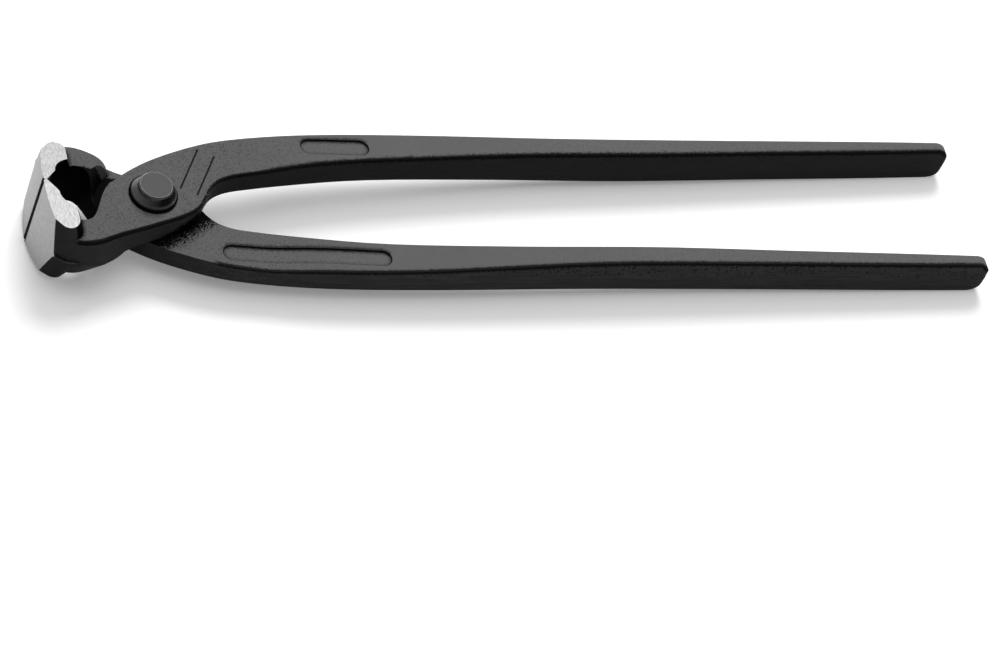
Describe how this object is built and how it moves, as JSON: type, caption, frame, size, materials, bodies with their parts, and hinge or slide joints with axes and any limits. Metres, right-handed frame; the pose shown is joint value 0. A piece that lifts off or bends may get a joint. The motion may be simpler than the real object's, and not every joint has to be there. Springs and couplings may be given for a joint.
{
  "type": "rebar tying pliers",
  "caption": "Hand pincers that twist and cut tying wire: lapped forged levers on a rivet, cutting jaws with a hollow throat behind the edges, long slim handles.",
  "frame": {"origin": "middle of the flat end of the rear rivet head, on the pivot axis", "axes": "+X along the tool from the jaws to the handle tips, +Y across the closed handles towards the front lever's handle, +Z along the rivet towards the front"},
  "size_m": [0.28, 0.0474, 0.026],
  "materials": {
    "forged_steel": "drop-forged, blackened and matt, with bright ground facets on the jaws",
    "rivet_steel": "turned, blackened and matt"
  },
  "bodies": {
    "front": {"front_lever": "forged_steel", "pivot_rivet": "rivet_steel"},
    "rear": {"rear_lever": "forged_steel"}
  },
  "joints": [
    {"name": "jaw_pivot", "type": "hinge", "parent": "front", "child": "rear", "pos_m": [0, 0, 0.01093], "axis": [0, 0, -1], "range_deg": [0, 55]}
  ]
}
